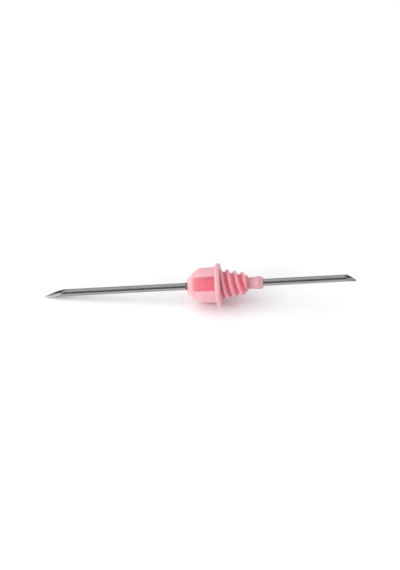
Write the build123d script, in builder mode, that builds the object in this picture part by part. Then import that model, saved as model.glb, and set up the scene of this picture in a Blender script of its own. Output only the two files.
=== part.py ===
from build123d import *
import math
import os

# Double-ended blood collection needle for one sample: a steel cannula ground to a point at both
# ends, glued into a moulded hub with a tapered thread. Sizes are in millimetres and degrees.
# The needle lies at rest: the front point and the flange's rim touch the floor, bevels face up.

# Cannula: 18 gauge, 1.2 mm nominal
CANNULA_OD = 1.27
CANNULA_WALL = 0.215
FRONT_LENGTH = 25.4
REAR_LENGTH = 16.3

# Ground points: one long bevel, then two side facets that make the sharp lancet
FRONT_BEVEL = 12.5
FRONT_LANCET = 19.0
FRONT_LANCET_LENGTH = 1.5
REAR_BEVEL = 27.0
REAR_LANCET = 34.0
REAR_LANCET_LENGTH = 0.5
LANCET_TURN = 30.0

# Hub: grooved bell at the front
BELL_LENGTH = 5.0
BELL_RADIUS = 3.38
BELL_DRAFT = 1.5
FRONT_FACE_RADIUS = 1.25
FRONT_FACE_EDGE = 0.12
FRONT_CHAMFER = 48.0
SHOULDER_FILLET = 1.9
GROOVE_COUNT = 4
GROOVE_WIDTH = 2.5
GROOVE_FLOOR_RADIUS = 2.2
GROOVE_CORNER = 0.3
LAND_EDGE = 0.14

# Hub: flange that stops against the holder
FLANGE_RADIUS = 3.8
FLANGE_THICKNESS = 0.8
FLANGE_CROWN = 0.15
SEAT_RELIEF = 0.07

# Hub: tapered right-hand thread with two starts that screws into the holder
THREAD_LENGTH = 4.7
THREAD_ROOT_START = 2.35
THREAD_ROOT_END = 1.3
THREAD_STARTS = 2
THREAD_PITCH = 1.3
THREAD_DEPTH = 0.55
THREAD_CREST = 0.28
THREAD_FLANK = 30.0
THREAD_END_CHAMFER = 0.2
THREAD_RUN_IN = 0.25
THREAD_START_ANGLE = 120.0
THREAD_SINK = 0.12

# Hub: nose behind the thread, with a slight bead
NOSE_LENGTH = 2.7
NOSE_RADIUS = 1.03
NOSE_BEAD_RADIUS = 1.15
NOSE_NECK_LENGTH = 1.3
NOSE_BEAD_RISE = 0.45
NOSE_BEAD_LENGTH = 0.3
NOSE_END_RADIUS = 0.94
NOSE_EDGE = 0.12

# Glue well in the hub's front face and the adhesive in it
BORE_CLEARANCE = 0.02
WELL_RADIUS = 0.95
WELL_DEPTH = 2.2
WELL_FLOOR_ANGLE = 45.0
BEAD_HEIGHT = 0.38
BEAD_FULLNESS = 0.4

# Reach of the cutters past the surface that they cut
CUT_MARGIN = 1.0
# Two places closer than this are the same place
TOUCH = 0.0001

cannula_radius = CANNULA_OD / 2
lumen_radius = cannula_radius - CANNULA_WALL
bore_radius = cannula_radius + BORE_CLEARANCE
flange_front = BELL_LENGTH
flange_rear = flange_front + FLANGE_THICKNESS
thread_end = flange_rear + THREAD_LENGTH
hub_length = thread_end + NOSE_LENGTH
rear_point = hub_length + REAR_LENGTH

# Resting pose: the front point's lower edge and the flange's rim roll onto the floor together
rim_radius = (FLANGE_THICKNESS**2 / 4 + FLANGE_CROWN**2) / (2 * FLANGE_CROWN)
rest_run = FRONT_LENGTH + (flange_front + flange_rear) / 2
rest_drop = FLANGE_RADIUS - rim_radius - cannula_radius
rest_angle = math.atan2(rest_drop, rest_run) + math.asin(rim_radius / math.hypot(rest_run, rest_drop))
rise = math.sin(rest_angle)
run = math.cos(rest_angle)

# The hub's front face stands here, with the whole needle centred over the origin
face_x = -run * (rear_point - FRONT_LENGTH) / 2 - rise * cannula_radius
face_z = rise * FRONT_LENGTH + run * cannula_radius

# Needle plane: X points to the bevel side, Z along the needle from the front to the rear
NEEDLE = Plane(origin=(face_x, 0, face_z), x_dir=(-rise, 0, run), z_dir=(run, 0, rise))
# Profile plane: X along the needle, Y outward to the bevel side
PROFILE = Plane(origin=(face_x, 0, face_z), x_dir=(run, 0, rise), z_dir=(0, -1, 0))
AXIS = Axis(origin=(face_x, 0, face_z), direction=(run, 0, rise))


def facet_plane(point, towards_hub, turn, bottom, angle):
    """Plane of one ground facet, turned about the needle's axis; its normal leaves the metal."""
    turned = Location((0, 0, point), (0, 0, turn))
    leaned = Location((-bottom, 0, 0), (0, 90 + towards_hub * angle, 0))
    return Plane(NEEDLE.location * turned * leaned)


def ground_facets(point, towards_hub, bevel, lancet, lancet_length):
    """The bevel and the two lancet facets of one point, which meet at lancet_length."""
    steepness = math.tan(math.radians(lancet)) / math.cos(math.radians(LANCET_TURN))
    setback = lancet_length * (steepness / math.tan(math.radians(bevel)) - 1)
    lancet_bottom = cannula_radius * math.cos(math.radians(LANCET_TURN))
    bevel_start = point - towards_hub * setback
    return [
        facet_plane(bevel_start, towards_hub, 0, cannula_radius, bevel),
        facet_plane(point, towards_hub, LANCET_TURN, lancet_bottom, lancet),
        facet_plane(point, towards_hub, -LANCET_TURN, lancet_bottom, lancet),
    ]


front_facets = ground_facets(-FRONT_LENGTH, 1, FRONT_BEVEL, FRONT_LANCET, FRONT_LANCET_LENGTH)
rear_facets = ground_facets(rear_point, -1, REAR_BEVEL, REAR_LANCET, REAR_LANCET_LENGTH)

# Cannula: one straight tube right through the hub
with BuildPart() as cannula:
    with BuildSketch(NEEDLE.offset(-FRONT_LENGTH)):
        Circle(cannula_radius)
        Circle(lumen_radius, mode=Mode.SUBTRACT)
    extrude(amount=FRONT_LENGTH + rear_point)
    for facet in front_facets + rear_facets:
        split(bisect_by=facet, keep=Keep.BOTTOM)

# Thread ridges: a trapezoid swept along a tapered right-hand helix, once for each start
taper = math.atan2(THREAD_ROOT_START - THREAD_ROOT_END, THREAD_LENGTH)
ridge_start = flange_rear - THREAD_RUN_IN
ridge_travel = THREAD_LENGTH + THREAD_RUN_IN + THREAD_PITCH / 2
ridge_start_radius = THREAD_ROOT_START + THREAD_RUN_IN * math.tan(taper)
ridge_helix = Helix(
    pitch=THREAD_PITCH * THREAD_STARTS / math.cos(taper),
    height=ridge_travel,
    radius=ridge_start_radius,
    cone_angle=-math.degrees(taper),
)
crest_half = THREAD_CREST / 2
foot_half = crest_half + THREAD_DEPTH * math.tan(math.radians(THREAD_FLANK))
end_crest = THREAD_ROOT_END + THREAD_DEPTH
chamfer_reach = THREAD_DEPTH / 2

with BuildPart() as ridges:
    for start in range(THREAD_STARTS):
        start_turn = THREAD_START_ANGLE + start * 360 / THREAD_STARTS
        ridge_path = NEEDLE.location * Location((0, 0, ridge_start), (0, 0, start_turn)) * ridge_helix
        ridge_out = (ridge_path @ 0) - NEEDLE.from_local_coords((0, 0, ridge_start))
        with BuildSketch(Plane(origin=ridge_path @ 0, x_dir=ridge_out, z_dir=ridge_path % 0)):
            with BuildLine():
                Polyline(
                    (-THREAD_SINK, -foot_half),
                    (0, -foot_half),
                    (THREAD_DEPTH, -crest_half),
                    (THREAD_DEPTH, crest_half),
                    (0, foot_half),
                    (-THREAD_SINK, foot_half),
                    close=True,
                )
            make_face()
        sweep(path=ridge_path, is_frenet=True)
    split(bisect_by=NEEDLE.offset(thread_end), keep=Keep.BOTTOM)
    with BuildSketch(PROFILE):
        with BuildLine():
            Polyline(
                (thread_end - THREAD_END_CHAMFER - chamfer_reach, end_crest + chamfer_reach),
                (thread_end + chamfer_reach, end_crest - THREAD_END_CHAMFER - chamfer_reach),
                (thread_end + chamfer_reach, end_crest + chamfer_reach),
                close=True,
            )
        make_face()
    revolve(axis=AXIS, mode=Mode.SUBTRACT)

# Hub: one moulding, turned from its profile, grooved, threaded and bored for the cannula
bell_edge_radius = BELL_RADIUS - BELL_LENGTH * math.tan(math.radians(BELL_DRAFT))
chamfer_slope = math.tan(math.radians(FRONT_CHAMFER))
draft_slope = math.tan(math.radians(BELL_DRAFT))
shoulder = (bell_edge_radius - FRONT_FACE_RADIUS) / (chamfer_slope - draft_slope)
shoulder_radius = FRONT_FACE_RADIUS + shoulder * chamfer_slope
rim_edge = FLANGE_RADIUS - FLANGE_CROWN
seat_radius = THREAD_ROOT_START + THREAD_DEPTH + SEAT_RELIEF
flange_back_fillet = (seat_radius - THREAD_ROOT_START) / math.tan(math.pi / 4 - taper / 2)
bead_start = thread_end + NOSE_NECK_LENGTH
bead_top = bead_start + NOSE_BEAD_RISE
bead_bottom = bead_top + NOSE_BEAD_LENGTH
groove_reach = FLANGE_RADIUS + CUT_MARGIN - GROOVE_FLOOR_RADIUS
groove_centre = GROOVE_FLOOR_RADIUS + groove_reach / 2
well_wall_end = WELL_DEPTH - (WELL_RADIUS - bore_radius) / math.tan(math.radians(WELL_FLOOR_ANGLE))


def corner_at(sketch, along, out):
    """The corner of a profile that stands at this place."""
    return sketch.vertices().sort_by_distance((along, out))[0]


def runs_along_land(edge):
    """Whether an edge of the bell is the top of a groove's wall, where the land begins."""
    ends = [NEEDLE.to_local_coords(Vector(end)) for end in edge.vertices()]
    outs = []
    for end in ends:
        turn = math.degrees(math.atan2(end.Y, end.X)) % (360 / GROOVE_COUNT) - 180 / GROOVE_COUNT
        radius = math.hypot(end.X, end.Y)
        if abs(abs(radius * math.sin(math.radians(turn))) - GROOVE_WIDTH / 2) > TOUCH:
            return False
        outs.append(radius * math.cos(math.radians(turn)))
    lies_across = abs(ends[0].Z - ends[-1].Z) < TOUCH
    return not lies_across and max(outs) > GROOVE_FLOOR_RADIUS + GROOVE_CORNER + TOUCH


with BuildPart() as hub:
    with BuildSketch(PROFILE) as hub_profile:
        with BuildLine():
            Polyline(
                (0, 0),
                (0, FRONT_FACE_RADIUS),
                (shoulder, shoulder_radius),
                (flange_front, BELL_RADIUS),
                (flange_front, rim_edge),
            )
            ThreePointArc(
                (flange_front, rim_edge),
                ((flange_front + flange_rear) / 2, FLANGE_RADIUS),
                (flange_rear, rim_edge),
            )
            Polyline(
                (flange_rear, rim_edge),
                (flange_rear, THREAD_ROOT_START),
                (thread_end, THREAD_ROOT_END),
                (thread_end, NOSE_RADIUS),
                (bead_start, NOSE_RADIUS),
                (bead_top, NOSE_BEAD_RADIUS),
                (bead_bottom, NOSE_BEAD_RADIUS),
                (hub_length, NOSE_END_RADIUS),
                (hub_length, 0),
                (0, 0),
            )
        make_face()
        fillet(corner_at(hub_profile, 0, FRONT_FACE_RADIUS), radius=FRONT_FACE_EDGE)
        fillet(corner_at(hub_profile, shoulder, shoulder_radius), radius=SHOULDER_FILLET)
        fillet(corner_at(hub_profile, flange_rear, THREAD_ROOT_START), radius=flange_back_fillet)
        fillet(corner_at(hub_profile, bead_top, NOSE_BEAD_RADIUS), radius=NOSE_EDGE)
        fillet(corner_at(hub_profile, bead_bottom, NOSE_BEAD_RADIUS), radius=NOSE_EDGE)
        fillet(corner_at(hub_profile, hub_length, NOSE_END_RADIUS), radius=NOSE_EDGE)
    revolve(axis=AXIS)

    with BuildSketch(NEEDLE):
        with PolarLocations(0, GROOVE_COUNT, start_angle=180 / GROOVE_COUNT):
            with Locations((groove_centre, 0)):
                RectangleRounded(groove_reach, GROOVE_WIDTH, GROOVE_CORNER)
    extrude(amount=flange_front, mode=Mode.SUBTRACT)
    fillet(hub.edges().filter_by(runs_along_land), radius=LAND_EDGE)

    add(ridges.part)

    with BuildSketch(PROFILE):
        with BuildLine():
            Polyline(
                (0, 0),
                (0, WELL_RADIUS),
                (well_wall_end, WELL_RADIUS),
                (WELL_DEPTH, bore_radius),
                (hub_length, bore_radius),
                (hub_length, 0),
                close=True,
            )
        make_face()
    revolve(axis=AXIS, mode=Mode.SUBTRACT)

# Adhesive: fills the well round the cannula and ends in a small bead in front of the hub
with BuildPart() as adhesive:
    with BuildSketch(PROFILE):
        with BuildLine():
            Polyline(
                (-BEAD_HEIGHT, cannula_radius),
                (WELL_DEPTH, cannula_radius),
                (WELL_DEPTH, bore_radius),
                (well_wall_end, WELL_RADIUS),
                (0, WELL_RADIUS),
            )
            ThreePointArc(
                (0, WELL_RADIUS),
                (-BEAD_HEIGHT * BEAD_FULLNESS, cannula_radius + (WELL_RADIUS - cannula_radius) * BEAD_FULLNESS),
                (-BEAD_HEIGHT, cannula_radius),
            )
        make_face()
    revolve(axis=AXIS)

cannula.part.label = "cannula"
hub.part.label = "hub"
adhesive.part.label = "adhesive"
os.makedirs("parts", exist_ok=True)
export_step(cannula.part, "parts/cannula.step")
export_step(hub.part, "parts/hub.step")
export_step(adhesive.part, "parts/adhesive.step")
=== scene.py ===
import math

import bmesh
import bpy
from mathutils import Matrix, Vector, noise
from mathutils.geometry import tessellate_polygon


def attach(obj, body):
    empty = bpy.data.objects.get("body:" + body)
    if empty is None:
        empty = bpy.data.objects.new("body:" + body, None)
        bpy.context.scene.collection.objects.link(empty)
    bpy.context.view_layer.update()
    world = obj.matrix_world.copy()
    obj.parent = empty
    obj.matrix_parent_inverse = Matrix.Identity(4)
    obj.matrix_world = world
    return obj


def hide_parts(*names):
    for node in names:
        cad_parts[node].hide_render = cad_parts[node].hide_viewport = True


# Double-ended blood collection needle, dressed over its CAD frame.
# Pieces are made in millimetres, with z along the needle from the hub's front face, x towards the side that
# the bevels face and y towards the viewer, as in the part's source. PLACE lays them into the frame.
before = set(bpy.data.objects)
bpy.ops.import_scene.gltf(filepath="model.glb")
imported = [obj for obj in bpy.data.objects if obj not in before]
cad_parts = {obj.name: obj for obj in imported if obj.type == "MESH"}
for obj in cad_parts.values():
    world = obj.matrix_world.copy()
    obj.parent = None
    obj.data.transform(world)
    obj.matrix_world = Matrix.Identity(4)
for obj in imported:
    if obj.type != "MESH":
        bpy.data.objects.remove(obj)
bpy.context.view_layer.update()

CANNULA_RADIUS = 0.635
LUMEN_RADIUS = 0.42
FRONT_POINT = -25.4
REAR_POINT = 29.5
FRONT_GRIND = (12.5, 19.0, 1.5)  # angles of the bevel and the lancets in degrees, and the lancets' length
REAR_GRIND = (27.0, 34.0, 0.5)
LANCET_TURN = 30.0
LUMEN_EDGE = 0.012
GROUND_BORDER = 0.07
BELL_END = 5.0
BELL_RADIUS = 3.38
BELL_DRAFT = 1.5
FACE_RADIUS = 1.25
FACE_EDGE = 0.12
FRONT_CHAMFER = 48.0
SHOULDER_FILLET = 1.9
FLANGE_REAR = 5.8
FLANGE_RADIUS = 3.8
FLANGE_CROWN = 0.15
FLANGE_CORNER = 0.045
SEAT_RELIEF = 0.07
THREAD_END = 10.5
ROOT_START = 2.35
ROOT_END = 1.3
NOSE_RADIUS = 1.03
RING_FOOT = 1.3
RING_START = 1.75
RING_END = 2.05
RING_RADIUS = 1.15
NOSE_EDGE = 0.12
HUB_END = 13.2
HUB_END_RADIUS = 0.94
WELL_RADIUS = 0.95
WELL_WALL = 1.905
WELL_DEPTH = 2.2
BORE_RADIUS = 0.655
GROOVES = 4
GROOVE_HALF = 1.25
GROOVE_FLOOR = 2.2
GROOVE_CORNER = 0.3
LAND_EDGE = 0.14
STARTS = 2
PITCH = 1.3
THREAD_DEPTH = 0.55
THREAD_CREST = 0.28
THREAD_FLANK = 30.0
THREAD_START_TURN = 120.0
THREAD_RUN_IN = 0.25
BEAD_HEIGHT = 0.38
BEAD_WAVE = 0.03
CONE_LIGHT_FADE = (1.9, 0.6)  # where the painted light on the front cone starts and is full
FLANGE_SHADOW_END = 8.8          # where the painted shadow of the flange on the thread's root ends
LIP_END = 0.3

# derived sizes of the flange and the thread
flange_half = (FLANGE_REAR - BELL_END) / 2
flange_edge = FLANGE_RADIUS - FLANGE_CROWN
rim = (flange_half ** 2 + FLANGE_CROWN ** 2) / (2 * FLANGE_CROWN)
taper = (ROOT_START - ROOT_END) / (THREAD_END - FLANGE_REAR)

# the needle lies on its front point and its flange's rim, which gives its lean and where its hub's face is
reach = -FRONT_POINT + (BELL_END + FLANGE_REAR) / 2
drop = FLANGE_RADIUS - rim - CANNULA_RADIUS
lean = math.atan2(drop, reach) + math.asin(rim / math.hypot(reach, drop))
rise, run = math.sin(lean), math.cos(lean)
face = Vector((-run * (REAR_POINT + FRONT_POINT) / 2 - rise * CANNULA_RADIUS, 0,
               -rise * FRONT_POINT + run * CANNULA_RADIUS))
PLACE = Matrix.Scale(0.001, 4) @ Matrix((
    (-rise, 0, run, face.x),
    (0, -1, 0, face.y),
    (run, 0, rise, face.z),
    (0, 0, 0, 1),
))


# ---------------------------------------------------------------- node helpers

FLOAT, VECTOR = "NodeSocketFloat", "NodeSocketVector"


def link(tree, source, target):
    tree.links.new(source, target)


def fill(tree, socket, value):
    """Gives a socket a value, or joins it to another node's output."""
    if isinstance(value, bpy.types.NodeSocket):
        link(tree, value, socket)
    else:
        socket.default_value = value


def node(tree, kind, settings=None, **sockets):
    """A node with its settings and sockets, which go by name or, as i0 and i1, by number."""
    made = tree.nodes.new(kind)
    for name, value in (settings or {}).items():
        setattr(made, name, value)
    for name, value in sockets.items():
        numbered = name[0] == "i" and name[1:].isdigit()
        fill(tree, made.inputs[int(name[1:]) if numbered else name.replace("_", " ")], value)
    return made


def math_node(tree, operation, a, b=0.0):
    return node(tree, "ShaderNodeMath", {"operation": operation}, i0=a, i1=b).outputs[0]


def spread_over(tree, value, low, high, start=0.3, end=0.7):
    """A value that runs from low to high while another runs from start to end."""
    return node(tree, "ShaderNodeMapRange", None, Value=value, From_Min=start, From_Max=end,
                To_Min=low, To_Max=high).outputs[0]


def group_tree(name, inputs, outputs):
    """An empty shader node group with these named inputs and outputs."""
    tree = bpy.data.node_groups.new(name, "ShaderNodeTree")
    for label, kind, value in inputs:
        socket = tree.interface.new_socket(label, in_out="INPUT", socket_type=kind)
        socket.default_value = value
    for label, kind in outputs:
        tree.interface.new_socket(label, in_out="OUTPUT", socket_type=kind)
    return tree, tree.nodes.new("NodeGroupInput"), tree.nodes.new("NodeGroupOutput")


# ---------------------------------------------------------------- shared effects

def moulded_skin():
    """Fine frosting and slow waviness of a moulded surface: a mask and a height."""
    tree, given, result = group_tree(
        "moulded skin",
        [("Vector", VECTOR, (0, 0, 0)), ("Grain Size", FLOAT, 9000.0), ("Wave Size", FLOAT, 700.0),
         ("Wave Share", FLOAT, 0.5)],
        [("Mask", FLOAT), ("Height", FLOAT)])
    grain = node(tree, "ShaderNodeTexNoise", None, Vector=given.outputs["Vector"],
                 Scale=given.outputs["Grain Size"], Detail=4.0, Roughness=0.6)
    wave = node(tree, "ShaderNodeTexNoise", None, Vector=given.outputs["Vector"],
                Scale=given.outputs["Wave Size"], Detail=2.0, Roughness=0.4)
    slow = math_node(tree, "MULTIPLY", wave.outputs["Fac"], given.outputs["Wave Share"])
    rest = math_node(tree, "SUBTRACT", 1.0, given.outputs["Wave Share"])
    fast = math_node(tree, "MULTIPLY", grain.outputs["Fac"], rest)
    both = math_node(tree, "ADD", slow, fast)
    link(tree, wave.outputs["Fac"], result.inputs["Mask"])
    link(tree, both, result.inputs["Height"])
    return tree


def worked_steel():
    """Fine lines in one direction, as drawing or grinding leaves them, and smudges of handling."""
    tree, given, result = group_tree(
        "worked steel",
        [("Vector", VECTOR, (0, 0, 0)), ("Line Size", FLOAT, 12000.0), ("Smudge Size", FLOAT, 350.0)],
        [("Lines", FLOAT), ("Smudge", FLOAT)])
    lines = node(tree, "ShaderNodeTexNoise", None, Vector=given.outputs["Vector"],
                 Scale=given.outputs["Line Size"], Detail=3.0, Roughness=0.55)
    smudge = node(tree, "ShaderNodeTexNoise", None, Vector=given.outputs["Vector"],
                  Scale=given.outputs["Smudge Size"], Detail=3.0, Roughness=0.5)
    link(tree, lines.outputs["Fac"], result.inputs["Lines"])
    link(tree, smudge.outputs["Fac"], result.inputs["Smudge"])
    return tree


MOULDED_SKIN = moulded_skin()
WORKED_STEEL = worked_steel()


# ---------------------------------------------------------------- materials

def new_material(name):
    made = bpy.data.materials.new(name)
    made.use_nodes = True
    return made, made.node_tree, made.node_tree.nodes["Principled BSDF"]


def along_needle(tree, stretch):
    """Object coordinates turned so that X runs along the needle, and stretched."""
    place = node(tree, "ShaderNodeTexCoord")
    turned = node(tree, "ShaderNodeMapping", None, Vector=place.outputs["Object"],
                  Rotation=(0.0, lean, 0.0), Scale=stretch)
    return turned.outputs["Vector"]


def needle_place(tree):
    """A point's distance behind the hub's front face and from the needle's axis, in millimetres."""
    needle = node(tree, "ShaderNodeSeparateXYZ", None, Vector=along_needle(tree, (1000, 1000, 1000)))
    station = math_node(tree, "SUBTRACT", needle.outputs["X"], face.x * run + face.z * rise)
    height = math_node(tree, "SUBTRACT", needle.outputs["Z"], face.z * run - face.x * rise)
    squares = [math_node(tree, "POWER", value, 2.0) for value in (height, needle.outputs["Y"])]
    return station, math_node(tree, "SQRT", math_node(tree, "ADD", *squares))


def between(tree, value, start, end):
    """A mask that runs smoothly from 0 at start to 1 at end."""
    return node(tree, "ShaderNodeMapRange", {"interpolation_type": "SMOOTHSTEP"}, Value=value,
                From_Min=start, From_Max=end).outputs[0]


def mixed(tree, share, a, b):
    """Two colours mixed by a share."""
    made = node(tree, "ShaderNodeMix", {"data_type": "RGBA"})
    for number, value in ((0, share), (6, a), (7, b)):
        fill(tree, made.inputs[number], (*value, 1) if isinstance(value, tuple) else value)
    return made.outputs[2]


def placed_group(tree, group, **sockets):
    return node(tree, "ShaderNodeGroup", {"node_tree": group}, **sockets)


def shades(tree, mask, dark, light):
    """A colour that runs from dark to light over the middle of a mask."""
    made = node(tree, "ShaderNodeValToRGB", None, Fac=mask)
    for stop, place, colour in zip(made.color_ramp.elements, (0.3, 0.7), (dark, light)):
        stop.position = place
        stop.color = (*colour, 1)
    return made.outputs["Color"]


def surface(tree, shader, colour, roughness, height, strength, depth, **constants):
    """Feeds a shader its colour, its roughness and the bump of a height, and sets its constants."""
    link(tree, colour, shader.inputs["Base Color"])
    link(tree, roughness, shader.inputs["Roughness"])
    bump = node(tree, "ShaderNodeBump", None, Height=height, Strength=strength, Distance=depth)
    link(tree, bump.outputs[0], shader.inputs["Normal"])
    for name, value in constants.items():
        shader.inputs[name.replace("_", " ")].default_value = value


def hub_plastic():
    made, tree, shader = new_material("pink moulded polypropylene")
    skin = placed_group(tree, MOULDED_SKIN, Vector=along_needle(tree, (1, 1, 1)),
                        Grain_Size=14000.0, Wave_Size=900.0, Wave_Share=0.55)
    station, radius = needle_place(tree)

    def times(a, b):
        return math_node(tree, "MULTIPLY", a, b)

    # Lands, crests and the front cone are painted paler, as painted light on the parts that stand out, and
    # the grooves and the thread's root stay darker as painted shade. The thread's root just behind the
    # flange is painted deeper, as the flange's painted shadow. The steel shows through the nose and the
    # adhesive through the lip.
    root = spread_over(tree, station, GROOVE_FLOOR, ROOT_END, FLANGE_REAR, THREAD_END)
    above_root = math_node(tree, "SUBTRACT", radius, root)
    behind_flange = times(between(tree, station, FLANGE_REAR - 0.3, FLANGE_REAR + 0.1),
                          between(tree, station, FLANGE_SHADOW_END, FLANGE_REAR))
    # painted shadow of the flange: a deeper pink on the thread's root just behind it
    painted_flange_shadow = times(between(tree, above_root, 0.5, 0.05), behind_flange)
    painted_cone_light = times(between(tree, station, *CONE_LIGHT_FADE), 0.95)
    # painted light: paler where the surface stands above the groove floor or the thread's root, and on the
    # front cone
    painted_light_on_raised = math_node(tree, "MAXIMUM", between(tree, above_root, 0.05, 0.95), painted_cone_light)
    nose = between(tree, station, THREAD_END - 0.15, THREAD_END + 0.35)
    lip = between(tree, station, LIP_END, 0.0)
    tint = shades(tree, skin.outputs["Mask"], (0.69, 0.135, 0.18), (0.75, 0.18, 0.235))
    for share, colour in ((times(painted_flange_shadow, 0.8), (0.58, 0.07, 0.11)), (times(painted_light_on_raised, 0.75), (0.70, 0.41, 0.45)),
                          (nose, (0.56, 0.29, 0.325)), (lip, (0.50, 0.235, 0.23))):
        tint = mixed(tree, share, tint, colour)
    height = skin.outputs["Height"]
    surface(tree, shader, tint, spread_over(tree, height, 0.28, 0.42), height, 0.12, 0.00002,
            Subsurface_Weight=0.15, Subsurface_Radius=(1.0, 0.35, 0.3), Subsurface_Scale=0.0004,
            Sheen_Weight=0.35, Sheen_Roughness=0.45, IOR=1.49)
    return made


def drawn_steel():
    made, tree, shader = new_material("drawn stainless steel")
    work = placed_group(tree, WORKED_STEEL, Vector=along_needle(tree, (0.02, 1, 1)))
    lines = work.outputs["Lines"]
    surface(tree, shader, shades(tree, lines, (0.295, 0.295, 0.285), (0.41, 0.41, 0.395)),
            spread_over(tree, work.outputs["Smudge"], 0.17, 0.27), lines, 0.15, 0.00001, Metallic=1.0)
    return made


def ground_steel():
    made, tree, shader = new_material("ground stainless steel")
    work = placed_group(tree, WORKED_STEEL, Vector=along_needle(tree, (1, 0.03, 1)), Line_Size=16000.0)
    lines = work.outputs["Lines"]
    surface(tree, shader, shades(tree, lines, (0.27, 0.27, 0.265), (0.38, 0.38, 0.37)),
            spread_over(tree, lines, 0.36, 0.52), lines, 0.2, 0.00001, Metallic=1.0)
    return made


def cured_adhesive():
    made, tree, shader = new_material("cured amber adhesive")
    skin = placed_group(tree, MOULDED_SKIN, Vector=along_needle(tree, (1, 1, 1)),
                        Grain_Size=6000.0, Wave_Size=1500.0, Wave_Share=0.7)
    height = skin.outputs["Height"]
    surface(tree, shader, shades(tree, skin.outputs["Mask"], (0.055, 0.024, 0.018), (0.10, 0.045, 0.032)),
            spread_over(tree, height, 0.12, 0.22), height, 0.2, 0.00003,
            Subsurface_Weight=0.25, Subsurface_Radius=(1.0, 0.5, 0.3), Subsurface_Scale=0.0005, IOR=1.52)
    return made


HUB_PLASTIC = hub_plastic()
DRAWN_STEEL = drawn_steel()
GROUND_STEEL = ground_steel()
CURED_ADHESIVE = cured_adhesive()


# ---------------------------------------------------------------- profiles

def rounded(corners):
    """A line through these (along, out, radius) corners, each rounded by its radius."""
    points = []
    for i, (x, y, radius) in enumerate(corners):
        here = Vector((x, y))
        if not radius or i in (0, len(corners) - 1):
            points.append(here)
            continue
        before = (Vector(corners[i - 1][:2]) - here).normalized()
        after = (Vector(corners[i + 1][:2]) - here).normalized()
        half = before.angle(after) / 2
        back = radius / math.tan(half)
        centre = here + (before + after).normalized() * radius / math.sin(half)
        start = here + before * back - centre
        turn = math.pi - 2 * half
        side = 1 if start.cross(here + after * back - centre) > 0 else -1
        steps = max(3, math.ceil(turn / math.radians(9)))
        for k in range(steps + 1):
            angle = side * turn * k / steps
            points.append(centre + Matrix.Rotation(angle, 2) @ start)
    return points


def spaced(points, most):
    """The same line with no run longer than most."""
    result = [points[0]]
    for a, b in zip(points, points[1:]):
        steps = max(1, math.ceil((b - a).length / most))
        result += [a.lerp(b, k / steps) for k in range(1, steps + 1)]
    return result


def revolve(mesh, line, steps):
    """Closes a line of (along, out) points, which ends where it starts, into a ring about the needle."""
    turns = [2 * math.pi * k / steps for k in range(steps)]
    rings = [[mesh.verts.new((y * math.cos(t), y * math.sin(t), x)) for t in turns] for x, y in line]
    for ring, after in zip(rings, rings[1:] + rings[:1]):
        for k in range(steps):
            n = (k + 1) % steps
            mesh.faces.new((ring[k], ring[n], after[n], after[k]))


def finished(name, mesh, node_name, sharp=35):
    """The finished piece: its place is in its mesh, and it stands for its CAD node."""
    mesh.transform(PLACE)
    mesh.shade_smooth()
    mesh.set_sharp_from_angle(angle=math.radians(sharp))
    piece = bpy.data.objects.new(name, mesh)
    bpy.context.scene.collection.objects.link(piece)
    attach(piece, "root")
    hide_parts(node_name)


# ---------------------------------------------------------------- hub

def groove_quarter_outline(radius, floor_steps=9, corner_steps=5, wall_steps=5, edge_steps=4, land_steps=10):
    """Half of the bell's outline round one groove, from the groove's middle to the land's middle."""
    points = []

    def kept(x, y):
        """A point of the groove, or the bell's own skin where the groove lies outside it."""
        here = Vector((x, y))
        if here.length <= radius:
            return here
        turn = max([math.atan2(y, x)] + [math.atan2(p.y, p.x) for p in points])
        return radius * Vector((math.cos(turn), math.sin(turn)))

    corner_x = GROOVE_FLOOR + GROOVE_CORNER
    corner_y = GROOVE_HALF - GROOVE_CORNER
    floor_turn = math.atan2(corner_y, GROOVE_FLOOR)
    for k in range(floor_steps + 1):
        points.append(kept(GROOVE_FLOOR, GROOVE_FLOOR * math.tan(floor_turn * k / floor_steps)))
    for k in range(1, corner_steps + 1):
        turn = math.pi / 2 * k / corner_steps
        points.append(kept(corner_x - GROOVE_CORNER * math.cos(turn),
                           corner_y + GROOVE_CORNER * math.sin(turn)))
    foot = points[-1]
    room = (radius ** 2 - GROOVE_HALF ** 2 - corner_x ** 2) / (2 * radius + 2 * GROOVE_HALF)
    edge = max(0.0, min(LAND_EDGE, room))
    if room > 0:
        centre = Vector((math.sqrt((radius - edge) ** 2 - (GROOVE_HALF + edge) ** 2), GROOVE_HALF + edge))
        wall_top = centre - Vector((0, edge))
        land_turn = math.atan2(centre.y, centre.x)
    else:
        centre, wall_top, land_turn = foot, foot, math.atan2(foot.y, foot.x)
    for k in range(1, wall_steps + 1):
        points.append(foot.lerp(wall_top, k / wall_steps))
    for k in range(1, edge_steps + 1):
        turn = -math.pi / 2 + (land_turn + math.pi / 2) * k / edge_steps
        points.append(centre + edge * Vector((math.cos(turn), math.sin(turn))))
    for k in range(1, land_steps + 1):
        turn = land_turn + (math.pi / GROOVES - land_turn) * k / land_steps
        points.append(radius * Vector((math.cos(turn), math.sin(turn))))
    return points


def groove_outline(radius):
    """The outline of one groove and the half lands beside it."""
    half = groove_quarter_outline(radius)
    return [Vector((p.x, -p.y)) for p in reversed(half[1:])] + half


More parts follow.
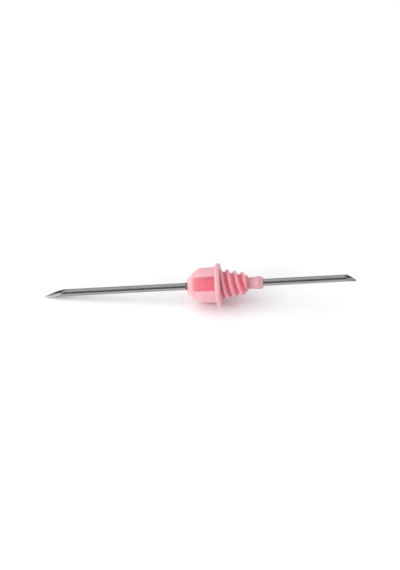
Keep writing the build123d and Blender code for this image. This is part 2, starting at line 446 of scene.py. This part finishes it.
def hub_sector():
    """One groove's share of the hub without its thread, from one land's middle to the next."""
    draft = math.tan(math.radians(BELL_DRAFT))
    slope = math.tan(math.radians(FRONT_CHAMFER))
    shoulder = (BELL_RADIUS - BELL_END * draft - FACE_RADIUS) / (slope - draft)
    shoulder_radius = FACE_RADIUS + shoulder * slope
    back_fillet = (THREAD_DEPTH + SEAT_RELIEF) / math.tan(math.pi / 4 - math.atan(taper) / 2)

    bell = rounded([(0, WELL_RADIUS, 0), (0, FACE_RADIUS, FACE_EDGE),
                    (shoulder, shoulder_radius, SHOULDER_FILLET), (BELL_END, BELL_RADIUS, 0)])
    bell = spaced(bell, 0.045)
    middle = (BELL_END + FLANGE_REAR) / 2
    sweep = math.asin(flange_half / rim)
    rim_turns = [sweep * k / 8 for k in range(-8, 9)]
    rim_line = [(middle + rim * math.sin(t), FLANGE_RADIUS - rim + rim * math.cos(t), 0) for t in rim_turns]
    rim_line[0] = (BELL_END, flange_edge, FLANGE_CORNER)
    rim_line[-1] = (FLANGE_REAR, flange_edge, FLANGE_CORNER)
    rear = rounded([(BELL_END, BELL_RADIUS, 0), *rim_line,
                    (FLANGE_REAR, ROOT_START, back_fillet), (THREAD_END, ROOT_END, 0.04),
                    (THREAD_END, NOSE_RADIUS, 0), (THREAD_END + RING_FOOT, NOSE_RADIUS, 0.1),
                    (THREAD_END + RING_START, RING_RADIUS, NOSE_EDGE),
                    (THREAD_END + RING_END, RING_RADIUS, NOSE_EDGE),
                    (HUB_END, HUB_END_RADIUS, NOSE_EDGE), (HUB_END, BORE_RADIUS, 0)])[1:]
    rear = spaced(rear, 0.4)
    inside = [Vector((WELL_DEPTH, BORE_RADIUS)), Vector((WELL_WALL, WELL_RADIUS))]

    mesh = bmesh.new()
    circle = groove_outline(0.5)
    turns = [math.atan2(p.y, p.x) for p in circle]

    def ring(along, radius):
        return [mesh.verts.new((radius * math.cos(t), radius * math.sin(t), along)) for t in turns]

    def joined(ring_a, ring_b):
        for a, b, c, d in zip(ring_a, ring_a[1:], ring_b[1:], ring_b):
            mesh.faces.new((a, b, c, d))

    bell_rings = []
    for x, y in bell:
        if y < 1.5:
            bell_rings.append(ring(x, y))
        else:
            bell_rings.append([mesh.verts.new((p.x, p.y, x)) for p in groove_outline(y)])
    rear_rings = [ring(x, y) for x, y in rear]
    inside_rings = [ring(x, y) for x, y in inside]
    for a, b in zip(bell_rings, bell_rings[1:]):
        joined(a, b)
    # the flange's front face, which also ends the grooves
    around = bell_rings[-1] + rear_rings[0][::-1]
    for corners in tessellate_polygon([[v.co.to_2d().to_3d() for v in around]]):
        made = mesh.faces.new([around[k] for k in corners])
        made.normal_update()
        if made.normal.z > 0:
            made.normal_flip()
    rings = rear_rings + inside_rings + bell_rings[:1]
    for a, b in zip(rings, rings[1:]):
        joined(a, b)
    bmesh.ops.remove_doubles(mesh, verts=mesh.verts, dist=1e-5)
    bmesh.ops.dissolve_degenerate(mesh, edges=mesh.edges, dist=1e-6)
    made = bpy.data.meshes.new("hub sector")
    mesh.to_mesh(made)
    mesh.free()
    return made


def hub_tree():
    """Repeats the groove's sector round the needle and adds the tapered thread as a swept ridge."""
    tree = bpy.data.node_groups.new("hub moulding", "GeometryNodeTree")
    sizes = [("Grooves", "NodeSocketInt", GROOVES), ("Starts", "NodeSocketInt", STARTS),
             ("Pitch", FLOAT, PITCH), ("Thread Depth", FLOAT, THREAD_DEPTH),
             ("Crest Width", FLOAT, THREAD_CREST), ("Flank Angle", FLOAT, math.radians(THREAD_FLANK)),
             ("Crest Edge", FLOAT, 0.07), ("Root Sink", FLOAT, 0.12),
             ("Ridge Start", FLOAT, FLANGE_REAR - THREAD_RUN_IN),
             ("Ridge Length", FLOAT, THREAD_END - FLANGE_REAR + THREAD_RUN_IN + PITCH / 2),
             ("Root Radius", FLOAT, ROOT_START + THREAD_RUN_IN * taper),
             ("Taper", FLOAT, taper), ("Start Turn", FLOAT, math.radians(THREAD_START_TURN)),
             ("Thread End", FLOAT, THREAD_END - 0.002),
             ("End Radius", FLOAT, ROOT_END + THREAD_DEPTH - 0.2), ("Stop Length", FLOAT, 5.0)]
    tree.interface.new_socket("Geometry", in_out="INPUT", socket_type="NodeSocketGeometry")
    for label, kind, value in sizes:
        tree.interface.new_socket(label, in_out="INPUT", socket_type=kind).default_value = value
    tree.interface.new_socket("Geometry", in_out="OUTPUT", socket_type="NodeSocketGeometry")
    given, result = tree.nodes.new("NodeGroupInput"), tree.nodes.new("NodeGroupOutput")
    size = given.outputs

    def worked(operation, a, b=0.0):
        return math_node(tree, operation, a, b)

    def repeated(shape, count, first):
        """The shape once for each of count equal turns about the needle, from the first turn on."""
        spots = node(tree, "GeometryNodeMeshLine", None, Count=count, Offset=(0, 0, 0))
        index = tree.nodes.new("GeometryNodeInputIndex")
        step = worked("DIVIDE", 2 * math.pi, count)
        place = worked("ADD", worked("MULTIPLY", index.outputs[0], step), first)
        turn = node(tree, "ShaderNodeCombineXYZ", None, Z=place)
        copies = node(tree, "GeometryNodeInstanceOnPoints", None, Points=spots.outputs["Mesh"],
                      Instance=shape, Rotation=turn.outputs[0])
        return node(tree, "GeometryNodeRealizeInstances", None, Geometry=copies.outputs[0]).outputs[0]

    # the sector, once for each groove
    real = repeated(size["Geometry"], size["Grooves"], worked("DIVIDE", math.pi, size["Grooves"]))
    body = node(tree, "GeometryNodeMergeByDistance", None, Geometry=real, Distance=2e-5)

    # the thread: a trapezoid swept along a tapered helix, once for each start
    narrowing = worked("MULTIPLY", size["Ridge Length"], size["Taper"])
    travel = worked("MULTIPLY", size["Pitch"], size["Starts"])
    helix = node(tree, "GeometryNodeCurveSpiral", None, Resolution=96,
                 Rotations=worked("DIVIDE", size["Ridge Length"], travel), Start_Radius=size["Root Radius"],
                 End_Radius=worked("SUBTRACT", size["Root Radius"], narrowing),
                 Height=size["Ridge Length"], Reverse=True)
    level = node(tree, "GeometryNodeSetCurveNormal", {"mode": "Z_UP"}, Curve=helix.outputs[0])
    height = worked("ADD", size["Thread Depth"], size["Root Sink"])
    spread = worked("MULTIPLY", worked("MULTIPLY", height, worked("TANGENT", size["Flank Angle"])), 2.0)
    ridge_shape = node(tree, "GeometryNodeCurvePrimitiveQuadrilateral", {"mode": "TRAPEZOID"},
                       Bottom_Width=worked("ADD", size["Crest Width"], spread),
                       Top_Width=size["Crest Width"], Height=height, Offset=0.0)
    soft = node(tree, "GeometryNodeFilletCurve", {"mode": "POLY"}, Curve=ridge_shape.outputs[0], Count=1,
                Radius=size["Crest Edge"], Limit_Radius=True)
    middle = worked("MULTIPLY", worked("SUBTRACT", size["Thread Depth"], size["Root Sink"]), 0.5)
    shift = node(tree, "ShaderNodeCombineXYZ", None, X=middle)
    upright = node(tree, "GeometryNodeTransform", None, Geometry=soft.outputs[0],
                   Translation=shift.outputs[0], Rotation=(0, 0, -math.pi / 2))
    ridge = node(tree, "GeometryNodeCurveToMesh", None, Curve=level.outputs[0],
                 Profile_Curve=upright.outputs[0], Fill_Caps=True)
    start = node(tree, "ShaderNodeCombineXYZ", None, Z=size["Ridge Start"])
    ridge_placed = node(tree, "GeometryNodeTransform", None, Geometry=ridge.outputs[0],
                        Translation=start.outputs[0])
    ridges = repeated(ridge_placed.outputs[0], size["Starts"], size["Start Turn"])

    # a cone ends the ridge with a chamfer
    stop = node(tree, "GeometryNodeMeshCone", None, Vertices=128, Radius_Top=size["End Radius"],
                Radius_Bottom=worked("ADD", size["End Radius"], size["Stop Length"]),
                Depth=size["Stop Length"])
    stop_at = node(tree, "ShaderNodeCombineXYZ", None,
                   Z=worked("SUBTRACT", size["Thread End"], size["Stop Length"]))
    stop_placed = node(tree, "GeometryNodeTransform", None, Geometry=stop.outputs["Mesh"],
                       Translation=stop_at.outputs[0])

    def combined(operation, *shapes):
        made = node(tree, "GeometryNodeMeshBoolean", {"operation": operation})
        for shape in shapes:
            link(tree, shape, made.inputs["Mesh 2"])
        return made.outputs["Mesh"]

    ended = combined("INTERSECT", ridges, stop_placed.outputs[0])
    whole = combined("UNION", ended, body.outputs[0])
    solid = node(tree, "GeometryNodeRealizeInstances", None, Geometry=whole)
    dressed = node(tree, "GeometryNodeSetMaterial", None, Geometry=solid.outputs[0], Material=HUB_PLASTIC)
    link(tree, dressed.outputs[0], result.inputs[0])
    return tree


def grown(name, start_mesh, tree):
    """The plain mesh that a Geometry Nodes tree makes from a start mesh."""
    holder = bpy.data.objects.new(name, start_mesh)
    bpy.context.scene.collection.objects.link(holder)
    modifier = holder.modifiers.new("grown", "NODES")
    modifier.node_group = tree
    bpy.context.view_layer.update()
    made = bpy.data.meshes.new_from_object(holder.evaluated_get(bpy.context.evaluated_depsgraph_get()))
    holder.modifiers.remove(modifier)
    bpy.data.objects.remove(holder)
    made.name = name
    return made


finished("hub_moulding", grown("hub moulding", hub_sector(), hub_tree()), "hub")


# ---------------------------------------------------------------- cannula

def ground_planes(point, towards_hub, bevel, lancet, lancet_length):
    """How far along the needle each ground facet lies, as a function of a place across it."""
    turn = math.radians(LANCET_TURN)
    steepness = math.tan(math.radians(lancet)) / math.cos(turn)
    setback = lancet_length * (steepness / math.tan(math.radians(bevel)) - 1)
    bevel_slope = 1 / math.tan(math.radians(bevel))
    lancet_slope = 1 / math.tan(math.radians(lancet))

    def bevel_at(x, y):
        return point - towards_hub * setback + towards_hub * (x + CANNULA_RADIUS) * bevel_slope

    def lancet_at(side):
        def at(x, y):
            across = x * math.cos(turn) + side * y * math.sin(turn)
            return point + towards_hub * (across + CANNULA_RADIUS * math.cos(turn)) * lancet_slope
        return at

    return [bevel_at, lancet_at(1), lancet_at(-1)]


def cannula_tube(steps=192):
    """The tube with its two ground points: walls of drawn steel, facets of ground steel."""
    front = ground_planes(FRONT_POINT, 1, *FRONT_GRIND)
    rear = ground_planes(REAR_POINT, -1, *REAR_GRIND)
    mesh = bmesh.new()
    rings = []

    def ring(radius, share, kind):
        """A ring, share of the way from the front point to the rear one, and the kind of skin after it."""
        made = []
        for turn in (2 * math.pi * k / steps for k in range(steps)):
            x, y = radius * math.cos(turn), radius * math.sin(turn)
            front_end = max(at(x, y) for at in front)
            rear_end = min(at(x, y) for at in rear)
            made.append(mesh.verts.new((x, y, front_end * (1 - share) + rear_end * share)))
        rings.append((made, kind))

    wall, facet = 0, 1
    across = [CANNULA_RADIUS - LUMEN_EDGE, CANNULA_RADIUS - GROUND_BORDER, LUMEN_RADIUS + GROUND_BORDER,
              LUMEN_RADIUS + LUMEN_EDGE]
    # the outer wall, then the rear point's facets, the lumen, and the front point's facets
    for k in range(6):
        ring(CANNULA_RADIUS, k / 6, wall)
    for radius in [CANNULA_RADIUS] + across:
        ring(radius, 1, facet)
    ring(LUMEN_RADIUS, 1, wall)
    for radius in [LUMEN_RADIUS] + across[::-1]:
        ring(radius, 0, facet)
    for (a, kind), (b, _) in zip(rings, rings[1:] + rings[:1]):
        for k in range(steps):
            n = (k + 1) % steps
            made = mesh.faces.new((a[k], a[n], b[n], b[k]))
            made.material_index = kind
    bmesh.ops.recalc_face_normals(mesh, faces=mesh.faces)
    made = bpy.data.meshes.new("cannula tube")
    mesh.to_mesh(made)
    mesh.free()
    made.materials.append(DRAWN_STEEL)
    made.materials.append(GROUND_STEEL)
    return made


finished("cannula_tube", cannula_tube(), "cannula", sharp=8)


# ---------------------------------------------------------------- adhesive

def adhesive_plug(steps=96):
    """The adhesive in the well, a hair clear of the hub and the cannula, with its bead up the cannula."""
    wall, skin = WELL_RADIUS - 0.002, CANNULA_RADIUS + 0.001
    line = [(WELL_DEPTH, BORE_RADIUS - 0.002), (WELL_WALL, wall), (0.03, wall)]
    for k in range(13):
        turn = math.pi / 2 * k / 12
        line.append((-BEAD_HEIGHT * (1 - math.cos(turn)) ** 0.8, wall + (skin - wall) * math.sin(turn)))
    line += [(-0.2, skin), (WELL_DEPTH, skin)]
    mesh = bmesh.new()
    revolve(mesh, line, steps)
    # the bead's edge is slightly uneven
    for vert in mesh.verts:
        if -0.3 < vert.co.z < -0.02:
            vert.co.z += BEAD_WAVE * noise.noise(vert.co * 2.3)
    bmesh.ops.recalc_face_normals(mesh, faces=mesh.faces)
    made = bpy.data.meshes.new("adhesive plug")
    mesh.to_mesh(made)
    mesh.free()
    made.materials.append(CURED_ADHESIVE)
    return made


finished("adhesive_plug", adhesive_plug(), "adhesive")


# ---------------------------------------------------------------- floor, light and camera

def pale_floor():
    mesh = bpy.data.meshes.new("floor")
    half = 1.5
    corners = [(-half, -half, 0), (half, -half, 0), (half, half, 0), (-half, half, 0)]
    mesh.from_pydata(corners, [], [(0, 1, 2, 3)])
    floor = bpy.data.objects.new("floor", mesh)
    bpy.context.scene.collection.objects.link(floor)
    made, tree, shader = new_material("pale floor")
    place = node(tree, "ShaderNodeTexCoord")
    paper = node(tree, "ShaderNodeTexNoise", None, Vector=place.outputs["Object"], Scale=220.0, Detail=5.0)
    mask = paper.outputs["Fac"]
    link(tree, shades(tree, mask, (0.92, 0.92, 0.925), (0.94, 0.94, 0.945)), shader.inputs["Base Color"])
    link(tree, spread_over(tree, mask, 0.6, 0.75), shader.inputs["Roughness"])
    mesh.materials.append(made)
    floor.location.z = -0.00002


def aimed(piece, place, target):
    """Puts a lamp or the camera in its place, turned towards its target."""
    bpy.context.scene.collection.objects.link(piece)
    piece.location = place
    piece.rotation_euler = (Vector(target) - Vector(place)).to_track_quat("-Z", "Y").to_euler()


def soft_light(name, place, size, power):
    """A rectangular lamp that faces the needle's middle."""
    data = bpy.data.lights.new(name, "AREA")
    data.shape, data.size, data.size_y = "RECTANGLE", *size
    data.energy = power
    aimed(bpy.data.objects.new(name, data), place, (0, 0, 0.003))


pale_floor()
for lamp in (("key softbox", (-0.62, -0.1, 0.46), (0.95, 0.95), 5.0),
             ("overhead softbox", (0.05, 0.15, 0.8), (1.3, 1.1), 1.5),
             ("left fill", (-0.55, -0.45, 0.2), (0.5, 0.35), 3.0),
             ("right fill", (0.6, -0.45, 0.25), (0.5, 0.4), 2.3)):
    soft_light(*lamp)

# the room is brighter above and behind the needle than on the viewer's side
world = bpy.data.worlds.new("studio")
bpy.context.scene.world = world
world.use_nodes = True
room = world.node_tree
around = node(room, "ShaderNodeTexCoord")
direction = node(room, "ShaderNodeSeparateXYZ", None, Vector=around.outputs["Generated"])
behind = math_node(room, "MULTIPLY", direction.outputs["Y"], 0.6)
above = math_node(room, "MULTIPLY", direction.outputs["Z"], 0.6)
brighter = between(room, math_node(room, "ADD", behind, above), -0.4, 0.7)
background = room.nodes["Background"]
link(room, mixed(room, brighter, (0.09, 0.092, 0.094), (0.62, 0.628, 0.636)), background.inputs["Color"])
bpy.context.scene.view_settings.view_transform = "Standard"

# the photograph looks down by 41 degrees, from 2.2 degrees to the right of square on
camera_data = bpy.data.cameras.new("camera")
camera_data.lens = 326
camera_data.sensor_width = 36
camera_data.clip_start, camera_data.clip_end = 0.01, 20
camera = bpy.data.objects.new("camera", camera_data)
aim = Vector((0, 0, 0.0036))
side, up = math.radians(2.2), math.radians(41)
towards = Vector((math.sin(side) * math.cos(up), -math.cos(side) * math.cos(up), math.sin(up)))
aimed(camera, aim + towards * 0.9, aim)
bpy.context.scene.camera = camera
